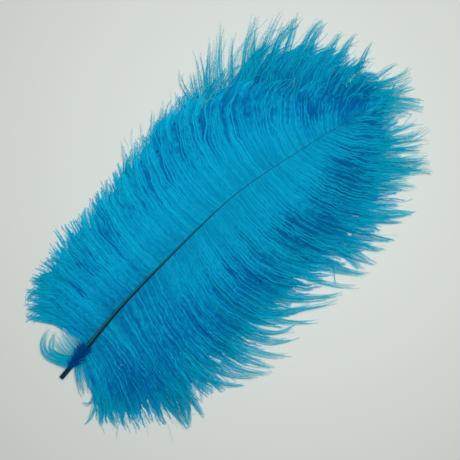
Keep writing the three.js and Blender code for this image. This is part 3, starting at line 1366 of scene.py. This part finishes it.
@dataclass
class Vane:
    """Both sides of the soft vane: outer barbs, a thin fringe and front barbs, with mats under them."""

    left_front: BarbPlan = BarbPlan(
        STATIONS,
        (82, 83, 86, 93, 97, 98, 96, 95, 80, 48, 10),
        (134, 125, 106, 80, 64, 30, 8, -12, -10, -8, -6),
        (47, 56, 70, 81, 89, 111, 105, 99, 62, 26, 8),
        (1.3, 1.3, 1.2, 1.1, 1.1, 1.5, 1.8, 2.0, 1.8, 1.5, 1.4),
        (1.6, 1.6, 1.6, 1.7, 2.2, 4.0, 5.4, 6.6, 4.2, 2.4, 2.0),
    )
    left_outer: BarbPlan = BarbPlan(
        STATIONS,
        (84, 85, 88, 95, 99, 96, 93, 90, 78, 50, 14),
        (138, 129, 110, 86, 66, 36, 23, 12, 6, 4, 0),
        (49, 58, 73, 81, 87, 105, 114, 126, 91, 40, 11),
        (1.3, 1.3, 1.2, 1.1, 1.1, 1.1, 1.0, 1.0, 1.0, 1.0, 1.0),
        (1.4,) * len(STATIONS),
    )
    right_front: BarbPlan = BarbPlan(
        STATIONS,
        (116, 104, 95, 111, 111, 98, 90, 84, 60, 32, 5),
        (128, 132, 126, 98, 60, 48, 46, 43, 26, 12, -2),
        (56, 67, 90, 107, 102, 104, 102, 100, 72, 29, 8),
        (0.6, 0.6, 0.8, 1.5, 2.2, 1.8, 1.5, 1.4, 1.4, 1.4, 1.4),
        (1.8, 1.8, 1.8, 2.2, 2.8, 3.2, 3.2, 3.2, 3.0, 2.4, 2.0),
    )
    right_outer: BarbPlan = BarbPlan(
        STATIONS,
        (118, 107, 98, 110, 104, 89, 82, 78, 63, 38, 6),
        (126, 130, 122, 96, 50, 42, 41, 38, 24, 10, -2),
        (57, 69, 94, 114, 112, 117, 117, 117, 85, 33, 11),
        (0.6, 0.6, 0.8, 1.4, 2.0, 1.6, 1.4, 1.3, 1.3, 1.3, 1.3),
        (1.4,) * len(STATIONS),
    )
    left_mat: BarbPlan = replace(left_outer, length=(48, 57, 72, 81, 86, 104, 100, 134, 97, 38, 8))
    right_mat: BarbPlan = replace(right_outer, length=(57, 69, 94, 114, 112, 117, 117, 116, 80, 28, 8))
    left_fringe: BarbPlan = replace(left_outer, length=(49, 58, 73, 82, 88, 110, 128, 138, 96, 43, 20))
    right_fringe: BarbPlan = replace(
        right_outer, length=(57, 69, 94, 112, 110, 115, 117, 118, 90, 44, 22),
    )
    # Places where the strands dip and are darkened with painted shade.
    dips: tuple[Hollow, ...] = tuple(Hollow(*row) for row in (
        (-21, -70, 17, 0.6), (4, -74, 15, 0.55), (26, -67, 14, 0.5), (50, -66, 17, 0.65),
        (75, -72, 15, 0.55), (97, -56, 13, 0.6), (114, -46, 13, 0.65), (-57, -82, 14, 0.65),
        (-69, -90, 11, 0.55), (-159, -74, 11, 0.45), (157, 2, 15, 0.9), (120, 12, 6, 0.8),
        (121, 25, 6, 0.6), (69, 71, 6, 0.6), (79, 68, 5, 0.6), (54, 71, 5, 0.6),
        (116, 39, 7, 0.6), (19, 76, 7, 0.45), (1, 78, 7, 0.45), (-150, 33, 8, 0.25),
        (-83, 49, 7, 0.35), (97, 55, 8, 0.4), (146, 17, 9, 0.4),
    ))
    # Patches of painted shade alone, where the barbs do not sink.
    painted_shade_patches: tuple[Hollow, ...] = tuple(Hollow(*row, sink=0.0) for row in (
        (-140, -69, 48, 0.62), (-42, -61, 44, 0.12), (124, 63, 29, 0.25), (145, -45, 28, 0.2),
        (146, 0, 16, 0.3), (136, -8, 14, 0.38), (107, 9, 12, 0.3), (-112, -8, 18, 0.38),
        (-82, 0, 18, 0.32), (-46, 2, 16, 0.26), (-74, -45, 24, 0.3), (98, -50, 20, 0.3),
        (58, -67, 22, 0.28), (-48, -84, 12, 0.3), (-131, -95, 10, 0.3), (74, 65, 14, 0.35),
        (139, 18, 10, 0.3), (-4, -30, 16, 0.16), (-150, -4, 16, 0.3), (108, 48, 14, 0.25),
        (-14, -77, 18, 0.22),
    ))
    half_share: float = 0.46
    half_spread: float = 0.05
    seed: int = 41

    def tiers(self) -> list[Tier]:
        """List the layers of both sides from the bottom to the top.

        Returns:
            The tiers.
        """
        hollows = self.dips + self.painted_shade_patches
        outer_mat = Tier(
            Layer.OUTER_MAT, Side.LEFT, self.left_mat, Weave.MATTED, strands=130, lift=-3.0, fall=0.72,
            height=0.76, tip_drop=0.8, tip_spread=0.3, stray_share=0.0, barbule=2.5, thin=0.3,
            spacing=1.6, locks=44, lock_gather=0.05, slit_shade=0.5, swing=0.5, closed=0.8,
            depth_spread=0.2, hollows=hollows,
        )
        fringe = Tier(
            Layer.FRINGE, Side.LEFT, self.left_fringe, Weave.LOOSE, strands=150, pairs=0.6, begins=0.66,
            lift=-1.4, fall=0.8, height=0.86, length_low=0.84, length_high=1.06, stray_high=1.16,
            wave=1.8, dash=0.03, spacing=0.6, barbule=0.55, rows=(-0.35,), rib_radius=0.12, thin=0.5,
            lock_gather=0.5, swing=2.6, fan=-0.25,
        )
        outer = Tier(
            Layer.OUTER, Side.LEFT, self.left_outer, Weave.LOOSE, strands=330, pairs=0.4, begins=0.45,
            lift=-1.2, fall=0.8, height=0.9, length_low=0.94, length_high=1.01, stray_share=0.04,
            stray_high=1.06, wave=1.0, depth_spread=0.34, spacing=0.5, barbule=1.15, rows=(-0.35,),
            thin=0.15, locks=44, lock_gather=0.48, gashes=0.25, hollows=hollows,
        )
        front_mat = Tier(
            Layer.FRONT_MAT, Side.LEFT, self.left_front, Weave.MATTED, strands=112, lift=-0.4, fall=1.2,
            height=0.96, locks=40, tip_drop=0.9, length_low=0.82, length_high=0.93, stray_share=0.0,
            barbule=2.3, thin=0.3, spacing=1.5, depth=0.4, lock_gather=0.06, swing=0.6, slit_shade=0.5,
            closed=0.76, depth_spread=0.26, dash=0.14, hollows=hollows,
        )
        front = Tier(
            Layer.FRONT, Side.LEFT, self.left_front, Weave.LOOSE, strands=140, pairs=0.15, lift=0.9,
            fall=1.25, locks=40, lock_gather=0.37, slit_shade=0.1, stray_share=0.03, stray_high=1.05,
            barbule=1.5, thin=0.25, rows=(-0.5, 0.2), crimp=0.14, gashes=0.35, hollows=hollows,
        )
        return [
            replace(
                outer_mat, first=0.036, depth=0.42, lock_seed=3, hook=3.2, length_low=0.87,
                length_high=0.96, lock_gather=0.2,
            ),
            replace(
                outer_mat, side=Side.RIGHT, plan=self.right_mat, first=0.01, depth=0.5, lock_seed=4,
                fan=-0.2, length_low=0.84, length_high=0.95,
            ),
            replace(fringe, first=0.38),
            replace(fringe, side=Side.RIGHT, plan=self.right_fringe),
            replace(outer, first=0.03, depth=0.06, lock_seed=3, hook=3.2),
            replace(outer, side=Side.RIGHT, plan=self.right_outer, depth=0.14, lock_seed=4, fan=-0.2),
            replace(
                front_mat, first=0.036, lock_seed=1, hook=3.2, lock_peak=0.5, length_low=0.87,
                length_high=0.96, closed=0.8, lock_gather=0.2, ragged=0.45, depth=0.34, slit_shade=0.6,
            ),
            replace(
                front_mat, side=Side.RIGHT, plan=self.right_front, first=0.01, lock_seed=2,
                lock_peak=-0.6, fan=-0.1,
            ),
            replace(
                front, first=0.03, lock_seed=1, hook=3.2, lock_peak=0.5, length_low=0.87,
                length_high=1.01, lock_gather=0.45, slit_shade=0.14, ragged=0.15,
            ),
            replace(
                front, side=Side.RIGHT, plan=self.right_front, lock_seed=2, lock_peak=-0.6, fan=-0.1,
            ),
        ]

    def build(self, shaft: ShaftLine, dyes: VaneDyes) -> None:
        """Grow every tier and make its pieces.

        Args:
            shaft: The shaft's centre line.
            dyes: The finishes of the vane's parts.
        """
        made = {finish.name: finish.material() for finish in dyes.all()}
        for number, tier in enumerate(self.tiers()):
            random = np.random.default_rng(self.seed + number)
            halves = {"base": MeshArrays(), "tip": MeshArrays()}
            for share, barb in tier.barbs(shaft, random):
                by_base = share + random.normal(0.0, self.half_spread) < self.half_share
                barb.draw(halves["base" if by_base else "tip"], random)
            for half, arrays in halves.items():
                finish = dyes.pick(tier, half == "tip")
                arrays.to_object(f"barbs_{tier.name}_{half}", made[finish.name], Slot.VANE)


@dataclass(frozen=True)
class Wisp:
    """Some barbs that run from the vane through one point to one tip, in plan, in millimetres."""

    start: Sequence[float]
    through: Sequence[float]
    tip: Sequence[float]
    barbs: int
    spread: float
    shade: float = 0.0

    @classmethod
    def rows(cls, *rows: Sequence[float]) -> tuple[Wisp, ...]:
        """Make wisps from rows of the coordinates of the three points and then the other values."""
        return tuple(cls(row[0:2], row[2:4], row[4:6], *row[6:]) for row in rows)


TOP_WISPS = Wisp.rows(
    (35, 83, 37, 94, 39, 102, 2, 2), (46, 87, 50, 104, 52, 117, 2, 2), (49, 85, 55, 97, 61, 107, 3, 3),
    (55, 80, 68, 100, 77, 119, 3, 3), (58, 79, 76, 102, 92, 120, 3, 2), (63, 76, 79, 97, 96, 114, 3, 3),
    (70, 73, 87, 99, 110, 123, 4, 3), (78, 73, 97, 95, 115, 111, 3, 3),
    (90, 68, 113, 91, 137, 107, 7, 5), (100, 69, 116, 88, 129, 99, 4, 3),
    (115, 76, 136, 89, 156, 96, 3, 3), (121, 69, 142, 80, 166, 82, 6, 3),
    (130, 63, 152, 78, 164, 87, 4, 3), (140, 53, 161, 65, 176, 67, 6, 4),
    (147, 53, 165, 62, 178, 61, 3, 3), (154, 39, 171, 46, 186, 50, 4, 3),
    (160, 32, 178, 38, 192, 40, 5, 3), (167, 14, 185, 22, 198, 25, 3, 2),
    (154, 12, 172, 17, 184, 11, 7, 5), (110, 80, 125, 88, 138, 92, 1, 1),
    (127, 77, 141, 84, 149, 89, 1, 1), (137, 71, 152, 76, 166, 82, 1, 1),
    (145, 62, 160, 66, 176, 69, 1, 1), (151, 53, 165, 57, 177, 60, 1, 1),
    (160, 45, 174, 46, 187, 50, 1, 1), (164, 34, 178, 35, 190, 33, 1, 1),
    (166, 20, 181, 17, 192, 12, 1, 1),
)
TIP_WISPS = Wisp.rows(
    (165, 3, 187, 0, 202, -2, 3, 2), (171, -2, 192, -11, 208, -12, 6, 3),
    (169, -8, 185, -17, 202, -21, 6, 4), (167, -15, 185, -21, 201, -26, 5, 4),
    (163, -9, 182, -26, 197, -42, 10, 5), (159, -14, 179, -30, 193, -47, 10, 5),
    (158, -20, 173, -32, 183, -43, 6, 3), (150, -41, 171, -48, 187, -55, 4, 2),
    (145, -42, 165, -55, 186, -61, 8, 4), (142, -45, 161, -59, 180, -70, 8, 4),
    (141, -49, 157, -62, 174, -73, 8, 3), (134, -52, 152, -70, 171, -80, 10, 4),
    (131, -58, 150, -75, 168, -86, 8, 3), (127, -61, 148, -77, 162, -94, 8, 3),
    (122, -64, 138, -77, 150, -86, 7, 3), (117, -68, 132, -81, 145, -93, 6, 3),
)
RIGHT_WISPS = Wisp.rows(
    (91, -82, 111, -98, 128, -108, 12, 3), (97, -75, 116, -97, 133, -108, 12, 5),
    (89, -82, 107, -100, 117, -109, 9, 3), (91, -82, 95, -94, 97, -102, 6, 3),
    (78, -87, 93, -106, 102, -116, 11, 4), (70, -90, 82, -106, 91, -119, 11, 5),
    (62, -88, 69, -106, 77, -122, 16, 7), (61, -89, 63, -105, 66, -122, 13, 5),
    (44, -91, 53, -109, 67, -124, 13, 5), (25, -75, 30, -102, 54, -126, 12, 4),
    (49, -95, 42, -107, 36, -117, 1, 1), (-8, -78, 12, -105, 40, -122, 16, 6),
    (-21, -92, 2, -109, 33, -124, 10, 3), (-27, -87, -9, -104, 14, -110, 8, 3),
    (-27, -87, -13, -110, 7, -128, 11, 3), (-43, -83, -29, -109, -5, -117, 10, 3),
    (-47, -88, -35, -113, -13, -127, 13, 5), (-61, -90, -48, -115, -28, -135, 14, 5),
    (-67, -97, -56, -119, -45, -133, 13, 5), (-76, -99, -66, -121, -49, -136, 11, 4),
    (-88, -91, -76, -117, -61, -130, 12, 5), (-100, -85, -91, -111, -75, -128, 12, 5),
)
BOTTOM_WISPS = Wisp.rows(
    (-95, -90, -104, -104, -113, -117, 5, 2), (-116, -99, -119, -118, -118, -128, 8, 3),
    (-136, -83, -136, -108, -137, -126, 16, 3, 0.35), (-122, -80, -129, -105, -137, -125, 22, 6, 0.35),
    (-114, -84, -123, -108, -136, -126, 18, 4, 0.3), (-166, -63, -173, -80, -173, -92, 8, 4),
    (-171, -59, -180, -76, -183, -88, 8, 3), (-174, -52, -184, -66, -193, -78, 5, 2),
    (-171, -48, -189, -62, -204, -67, 6, 3), (-171, -47, -186, -55, -191, -46, 6, 3),
)
BASE_WISPS = Wisp.rows(
    (-169, -22, -177, -35, -184, -49, 16, 5), (-172, -23, -181, -33, -187, -48, 8, 3),
    (-164, -16, -165, -7, -163, 9, 18, 6), (-170, -18, -174, -7, -172, 8, 16, 5),
    (-175, -19, -181, -8, -183, 6, 12, 3), (-174, -19, -188, 3, -170, 16, 18, 3),
    (-171, -18, -182, -1, -168, 11, 12, 3), (-178, -20, -186, -8, -187, 3, 8, 3),
)
LOBE_WISPS = Wisp.rows(
    (-153, 8, -172, 25, -180, 38, 12, 4), (-150, 19, -169, 36, -177, 40, 12, 5),
    (-142, 31, -161, 47, -174, 43, 14, 5), (-134, 36, -148, 52, -162, 51, 12, 5),
    (-123, 41, -130, 57, -141, 60, 8, 3),
)
EDGE_WISPS = Wisp.rows(
    (-70, 65, -68, 73, -68, 79, 2, 2), (-58, 68, -57, 77, -52, 83, 2, 2),
    (-4, 74, -6, 86, -10, 93, 4, 3), (17, 79, 11, 89, 6, 93, 4, 3),
)


@dataclass
class Wisps:
    """Loose wisps that stand out beyond the closed edge of the vane."""

    name: str
    wisps: tuple[Wisp, ...]
    hairs: float
    meet: float
    shortest: float
    full_share: float
    scatter: float = 0.6
    taper: float = 0.6
    full_barbule: float = 1.0
    thin_barbule: float = 0.6
    bow: float = 0.7
    spacing: float = 0.5
    start_height: float = 4.0
    seed: int = 91

    TIP_HEIGHTS = (0.9, 3.0)
    LEAST_HEIGHT = 0.5
    HEIGHT_SPREAD = 0.4
    FALL_POWER = 1.2
    SHARED_WAVE = 0.5
    OWN_WAVE = 0.4
    FEWEST_HAIRS = 2
    FEWEST_STEPS = 10
    SIZE_SPREAD = (0.75, 1.25)
    TAPER_SPAN = (0.4, 1.0)
    ROOT_ROLL = 0.4
    TIP_ROLL = 0.6
    ROOT_LEAN = 44.0
    LEAN_LOSS = 16.0
    FULL_DEPTH = 0.42
    DEPTH_SPREAD = 0.22
    TIP_CLEAR = 0.2
    FULL_RIB = 0.16
    THIN_RIB = 0.12

    def build(self, finish: DyedBarbFinish) -> None:
        """Grow the wisps.

        Args:
            finish: The finish of the barbs.
        """
        random = np.random.default_rng(self.seed)
        arrays = MeshArrays()
        for wisp in self.wisps:
            tip_height = random.uniform(*self.TIP_HEIGHTS)
            wave = StrandWave.draw(random, self.SHARED_WAVE)
            count = max(self.FEWEST_HAIRS, round(self.hairs * wisp.barbs))
            for number in range(count):
                aside = (2.0 * (number + random.random()) / count - 1.0) * wisp.spread
                self._barb(wisp, aside, tip_height, wave, random).draw(arrays, random)
        arrays.to_object(self.name, finish.material(), Slot.VANE)

    def _barb(
        self, wisp: Wisp, aside: float, tip_height: float, wave: StrandWave, random: np.random.Generator,
    ) -> Barb:
        """Lay one barb of a wisp.

        Args:
            wisp: The wisp.
            aside: How far beside the wisp's line the barb starts.
            tip_height: Height of the tip over the surface.
            wave: Sideways wave that the wisp's barbs share.
            random: Source of the spread between barbs.

        Returns:
            The barb.
        """
        start, through, tip = (np.array(point) for point in (wisp.start, wisp.through, wisp.tip))
        control = 2.0 * through - 0.5 * (start + tip)
        length = np.linalg.norm(control - start) + np.linalg.norm(tip - control)
        count = max(self.FEWEST_STEPS, int(length / self.spacing))
        part = np.linspace(0.0, 1.0, count + 1)
        place = part[:, None] * random.uniform(self.shortest, 1.0)
        plan = (1 - place) ** 2 * start + 2 * place * (1 - place) * control + place ** 2 * tip
        ahead = unit(np.gradient(plan, axis=0))
        level = np.column_stack([-ahead[:, 1], ahead[:, 0]])
        bow = self.bow * random.normal() * 4.0 * part * (1.0 - part)
        beside = aside * (1.0 - self.meet * place[:, 0])
        shift = beside + bow + random.normal(0.0, self.scatter) * part ** 2
        shift = shift + wave.at(part) + StrandWave.draw(random, self.OWN_WAVE).at(part)
        plan = plan + level * shift[:, None]
        height = self.start_height + (tip_height - self.start_height) * part ** self.FALL_POWER
        height = height + random.normal(0.0, self.HEIGHT_SPREAD) * part
        full = random.random() < self.full_share
        size = (self.full_barbule if full else self.thin_barbule) * random.uniform(*self.SIZE_SPREAD)
        root_roll, tip_roll = random.normal(0.0, self.ROOT_ROLL), random.normal(0.0, self.TIP_ROLL)
        # painted shade: the wisp's own shade, more on full barbs, with a random spread, fading towards
        # the tip
        depth = wisp.shade + self.FULL_DEPTH * full + random.normal(0.0, self.DEPTH_SPREAD)
        return Barb(
            centre=np.column_stack([plan, np.maximum(height, self.LEAST_HEIGHT)]),
            roll=root_roll + tip_roll * part,
            barbule=size * (1.0 - self.taper * smooth(part, *self.TAPER_SPAN)),
            lean=np.radians(self.ROOT_LEAN - self.LEAN_LOSS * part),
            depth=np.clip(depth - self.TIP_CLEAR * part, 0.0, 1.0),
            tone=float(random.uniform(0.0, 1.0)),
            rib_radius=self.FULL_RIB if full else self.THIN_RIB,
        )


@dataclass
class Shaft:
    """The stiff shaft: a cut, hollow quill that thins into the grooved stem between the barbs."""

    line: ShaftLine
    sides: int = 18
    step: float = 2.0
    groove_angle: float = 90.0
    groove_width: float = 24.0
    groove_depth: float = 0.16
    groove_begins: Span = (14.0, 50.0)
    pale_angle: float = 62.0
    pale_width: float = 12.0
    pale_fades: Span = (110.0, 190.0)
    wall: float = 0.5
    hollow: float = 7.0
    hollow_end: float = 0.6
    lip: float = 0.4

    CHART_SPAN = (0.05, 0.95)

    def build(self, finish: DyedQuillFinish) -> None:
        """Make the shaft's piece.

        Args:
            finish: The finish of the horn.
        """
        count = int(self.line.length / self.step)
        outside = np.linspace(0.0, self.line.length, count)
        inside = np.array([self.hollow, 0.5 * self.hollow, self.lip, 0.0])
        place = np.concatenate([inside, outside])
        radius = self.line.radius(place)
        radius[:len(inside)] -= self.wall
        radius[:1] *= self.hollow_end
        angle = np.radians(np.arange(self.sides) * 360.0 / self.sides)
        degrees = np.degrees(angle)
        dent = np.exp(-(((degrees - self.groove_angle) / self.groove_width) ** 2))
        pale = np.exp(-(((degrees - self.pale_angle) / self.pale_width) ** 2))
        ahead = self.line.heading(place)
        left = unit(np.cross(UP, ahead))
        above = np.cross(ahead, left)
        grooved = smooth(place, *self.groove_begins)
        grooved[:len(inside)] = 0.0
        ring = radius[:, None] * (1.0 - self.groove_depth * grooved[:, None] * dent[None, :])
        beside, upward = np.cos(angle)[None, :, None], np.sin(angle)[None, :, None]
        spoke = beside * left[:, None, :] + upward * above[:, None, :]
        points = self.line.point(place)[:, None, :] + ring[:, :, None] * spoke
        points = np.concatenate([points, points[:, :1]], axis=1)
        rows, columns = points.shape[:2]
        grid = np.arange(rows * columns).reshape(rows, columns)
        here, there = grid[:-1, :-1].ravel(), grid[:-1, 1:].ravel()
        next_here, next_there = grid[1:, :-1].ravel(), grid[1:, 1:].ravel()
        corners = [
            np.column_stack([here, there, next_here]),
            np.column_stack([there, next_there, next_here]),
        ]
        flat = points.reshape(-1, 3)
        ends = np.array([points[0, :-1].mean(axis=0), points[-1, :-1].mean(axis=0)])
        for row, hub, turn in ((0, len(flat), -1), (rows - 1, len(flat) + 1, 1)):
            edge = grid[row]
            pair = (edge[:-1], edge[1:]) if turn > 0 else (edge[1:], edge[:-1])
            corners.append(np.column_stack([*pair, np.full(columns - 1, hub)]))
        along = np.linspace(0.0, 1.0, rows)
        around = np.linspace(*self.CHART_SPAN, columns)
        chart = np.column_stack([np.tile(around, rows), np.repeat(along, columns)])
        chart = np.vstack([chart, [[0.5, 0.0], [0.5, 1.0]]])
        shown = grooved * (1.0 - smooth(place, *self.pale_fades))
        line = np.repeat(shown, columns) * np.tile(np.append(pale, pale[0]), rows)
        arrays = MeshArrays()
        arrays.add(np.vstack([flat, ends]), np.concatenate(corners), chart, {
            "reach": np.append(np.repeat(place / self.line.length, columns), [0.0, 1.0]),
            "line": np.append(line, [0.0, 0.0]),
        })
        arrays.to_object("shaft", finish.material(), Slot.QUILL)


@dataclass
class DownTuft:
    """Short, dark, curling down where the vane begins, around the quill."""

    line: ShaftLine
    count: int = 320
    start: float = 10.0
    end: float = 30.0
    shortest: float = 8.0
    longest: float = 14.0
    spacing: float = 0.5
    barbule: float = 0.75
    rib_radius: float = 0.1
    seed: int = 7

    FULL_SPAN = (11.0, 22.0)
    FIRST_LENGTH = 0.7
    SWING = math.radians(26.0)
    SWING_SPREAD = math.radians(13.0)
    BEND = 0.35
    RISES = (0.0, 2.4)
    ARCH = 1.4
    FALL = 1.5
    LEAST_HEIGHT = 0.6
    ROOT_ROLL = 0.7
    TIP_ROLL = 1.0
    SIZE_SPREAD = (0.8, 1.2)
    TAPER = 0.6
    LEAN = math.radians(48.0)
    DEPTHS = (0.0, 0.6)

    def build(self, finish: DyedBarbFinish) -> None:
        """Grow the tuft.

        Args:
            finish: The finish of the down.
        """
        random = np.random.default_rng(self.seed)
        arrays = MeshArrays()
        for _ in range(self.count):
            place = random.uniform(self.start, self.end)
            root = self.line.point(np.array([place]))[0]
            ahead = self.line.heading(np.array([place]))[0]
            forward = math.atan2(ahead[1], ahead[0])
            hand = 1.0 if random.random() < 0.5 else -1.0
            grown = smooth(place, *self.FULL_SPAN)
            fullness = self.FIRST_LENGTH + (1.0 - self.FIRST_LENGTH) * grown
            length = random.uniform(self.shortest, self.longest) * fullness
            count = int(length / self.spacing)
            part = np.linspace(0.0, 1.0, count + 1)
            swing = hand * random.normal(self.SWING, self.SWING_SPREAD)
            heading = forward + swing + random.normal(0.0, self.BEND) * part
            walk = np.column_stack([np.cos(heading), np.sin(heading)])[:-1] * length / count
            plan = root[:2] + np.vstack([[0.0, 0.0], np.cumsum(walk, axis=0)])
            rise = random.uniform(*self.RISES)
            height = root[2] + rise + self.ARCH * np.sin(math.pi * part) - self.FALL * part ** 2
            root_roll, tip_roll = random.normal(0.0, self.ROOT_ROLL), random.normal(0.0, self.TIP_ROLL)
            Barb(
                centre=np.column_stack([plan, np.maximum(height, self.LEAST_HEIGHT)]),
                roll=root_roll + tip_roll * part,
                barbule=self.barbule * random.uniform(*self.SIZE_SPREAD) * (1.0 - self.TAPER * part),
                lean=np.full(count + 1, self.LEAN),
                tone=float(random.uniform(0.0, 1.0)),
                depth=np.full(count + 1, random.uniform(*self.DEPTHS)),
                rib_radius=self.rib_radius,
            ).draw(arrays, random)
        arrays.to_object("down_tuft", finish.material(), Slot.VANE)


@dataclass
class Stage:
    """Table, light and camera: the feather is seen straight from above under a soft wide light."""

    turn: float = -40.0
    aim: tuple[float, float] = (0.0, -0.0186)
    frame_width: float = 0.391
    camera_height: float = 0.62
    focus_height: float = 0.004
    sensor: float = 36.0
    light_place: tuple[float, float, float] = (0.09, -0.002, 0.66)
    light_size: float = 0.45
    light_power: float = 4.12
    sky: float = 0.2
    sky_colour: Colour = (0.97, 1.0, 0.99)
    table_half: float = 1.6
    table_height: float = -0.0001
    nearest: float = 0.01

    def build(self) -> None:
        """Set the stage up."""
        self._table()
        self._light()
        self._camera()

    def _table(self) -> None:
        """Lay the table top just under the feather."""
        mesh = bpy.data.meshes.new("table")
        half = self.table_half
        around = ((-half, -half), (half, -half), (half, half), (-half, half))
        mesh.from_pydata([(*corner, self.table_height) for corner in around], [], [(0, 1, 2, 3)])
        mesh.materials.append(TableFinish().material())
        table = link_object("table", mesh)

    def _light(self) -> None:
        """Hang the wide light and set the even sky."""
        lamp = bpy.data.lights.new("wide_light", "AREA")
        lamp.size = self.light_size
        lamp.energy = self.light_power
        holder = link_object("wide_light", lamp)
        holder.location = self.light_place
        x, y, z = self.light_place
        holder.rotation_euler = (0.0, math.acos(z / math.hypot(x, y, z)), math.atan2(y, x))
        world = bpy.data.worlds.new("even_sky")
        bpy.context.scene.world = world
        world.use_nodes = True
        graph = Graph(world.node_tree)
        sky = graph.wire("ShaderNodeBackground", {}, {"Color": self.sky_colour, "Strength": self.sky})
        graph.node("ShaderNodeOutputWorld", {}, {"Surface": sky})

    def _camera(self) -> None:
        """Hang the camera straight above the feather."""
        lens = bpy.data.cameras.new("camera")
        lens.sensor_width = self.sensor
        lens.lens = self.sensor * (self.camera_height - self.focus_height) / self.frame_width
        lens.clip_start = self.nearest
        holder = link_object("camera", lens)
        holder.location = (*self.aim, self.camera_height)
        holder.rotation_euler = (0.0, 0.0, math.radians(self.turn))
        bpy.context.scene.camera = holder
        bpy.context.scene.view_settings.view_transform = "Standard"


BLUE_BARBS = DyedBarbFinish(
    name="dyed_barbs",
    root=dye(12, 180, 219),
    middle=dye(12, 203, 241),
    tip=dye(18, 228, 255),
    pale=dye(24, 236, 255),
    shade_and_dull=dye(6, 121, 188),
    glow=dye(8, 192, 246),
)
# Painted light: a lighter copy of the blue barbs, with less rim shade, for the left half by the base.
PAINTED_LIGHT_BARBS = replace(
    BLUE_BARBS,
    name="painted_light_barbs",
    middle=dye(12, 207, 246),
    tip=dye(18, 226, 248),
    pale=dye(24, 238, 255),
    far_shade=0.42,
)
TEAL_BARBS = DyedBarbFinish(
    name="teal_barbs",
    root=dye(12, 188, 224),
    middle=dye(12, 206, 250),
    tip=dye(20, 216, 255),
    pale=dye(28, 230, 255),
    shade_and_dull=dye(6, 121, 181),
    glow=dye(10, 184, 216),
)
MIXED_BARBS = DyedBarbFinish(
    name="mixed_barbs",
    root=dye(12, 184, 226),
    middle=dye(12, 201, 240),
    tip=dye(16, 212, 238),
    pale=dye(22, 221, 248),
    shade_and_dull=dye(6, 117, 174),
    glow=dye(9, 186, 230),
    far_shade=0.38,
)
TEAL_WISPS = DyedBarbFinish(
    name="teal_wisps",
    root=dye(2, 206, 238),
    middle=dye(10, 222, 244),
    tip=dye(40, 228, 240),
    pale=dye(30, 238, 250),
    shade_and_dull=dye(0, 146, 192),
    glow=dye(20, 222, 244),
    through=0.45,
    near_shade=0.1,
    far_shade=0.1,
)
BLUE_WISPS = DyedBarbFinish(
    name="blue_wisps",
    root=dye(0, 204, 238),
    middle=dye(4, 221, 246),
    tip=dye(20, 230, 242),
    pale=dye(16, 240, 254),
    shade_and_dull=dye(0, 134, 184),
    glow=dye(8, 216, 244),
    near_shade=0.15,
    far_shade=0.15,
)
DARK_DOWN = DyedBarbFinish(
    name="dark_down",
    root=dye(0, 84, 160),
    middle=dye(2, 104, 188),
    tip=dye(4, 136, 210),
    pale=dye(4, 134, 212),
    shade_and_dull=dye(0, 68, 140),
    glow=dye(0, 80, 160),
)
DARK_HORN = DyedQuillFinish(
    name="dyed_horn",
    horn=dye(2, 51, 74),
    line=dye(64, 136, 146),
    tip=dye(3, 114, 158),
)


def main() -> None:
    """Build the feather and its stage in order."""
    logging.basicConfig(level=logging.INFO, format="%(message)s")
    line = ShaftLine()
    Stage().build()
    Shaft(line).build(DARK_HORN)
    Vane().build(line, VaneDyes(PAINTED_LIGHT_BARBS, BLUE_BARBS, MIXED_BARBS, TEAL_BARBS, TEAL_WISPS))
    Wisps(
        "wisps_top", TOP_WISPS, hairs=2.2, meet=0.4, shortest=0.58, full_share=0.42, scatter=1.2,
        full_barbule=1.15, thin_barbule=0.7,
    ).build(TEAL_WISPS)
    Wisps(
        "wisps_tip", TIP_WISPS, hairs=2.0, meet=0.45, shortest=0.66, full_share=0.5, scatter=1.8,
        taper=0.4,
    ).build(TEAL_WISPS)
    Wisps(
        "wisps_lock", RIGHT_WISPS + BOTTOM_WISPS + LOBE_WISPS, hairs=1.15, meet=0.88, shortest=0.7,
        full_share=0.72, scatter=0.9, taper=0.4,
    ).build(BLUE_WISPS)
    Wisps(
        "wisps_base", BASE_WISPS + EDGE_WISPS, hairs=1.5, meet=0.35, shortest=0.72, full_share=0.3,
    ).build(BLUE_WISPS)
    DownTuft(line).build(DARK_DOWN)


if __name__ == "__main__":
    main()
